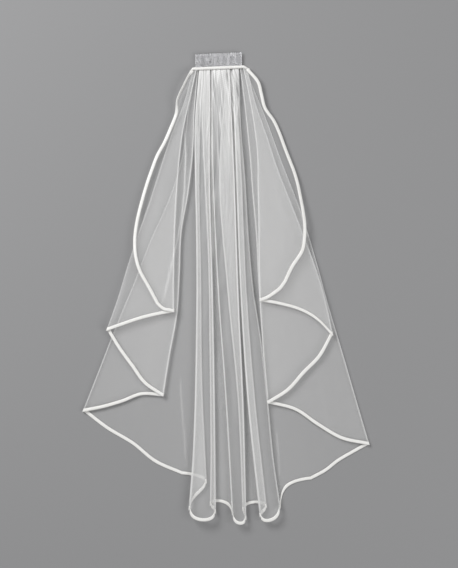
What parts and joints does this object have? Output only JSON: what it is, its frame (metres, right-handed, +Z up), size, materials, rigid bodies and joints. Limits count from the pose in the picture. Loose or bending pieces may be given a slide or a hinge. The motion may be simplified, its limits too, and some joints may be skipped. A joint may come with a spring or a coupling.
{
  "type": "bridal veil",
  "caption": "Elbow-length tulle bridal veil gathered onto a wire comb, edge bound in narrow satin ribbon, laid out flat with cascading side folds.",
  "frame": {"origin": "centre of the veil's bounding box at the surface it lies on", "axes": "+Z up from the surface, +Y along the veil towards the comb teeth, +X to the right seen from above"},
  "size_m": [0.4784, 0.7866, 0.0163],
  "materials": {
    "tulle": "fine white nylon net",
    "ribbon": "ivory white satin",
    "band": "shirred white satin",
    "wire": "silver plated wire"
  },
  "bodies": {
    "root": {"tulle_left_cascade": "tulle", "tulle_back": "tulle", "tulle_right_cascade": "tulle", "ribbon_left": "ribbon", "ribbon_hem": "ribbon", "ribbon_right": "ribbon", "header_band": "band", "comb_teeth": "wire", "comb_spine": "wire"}
  },
  "joints": []
}
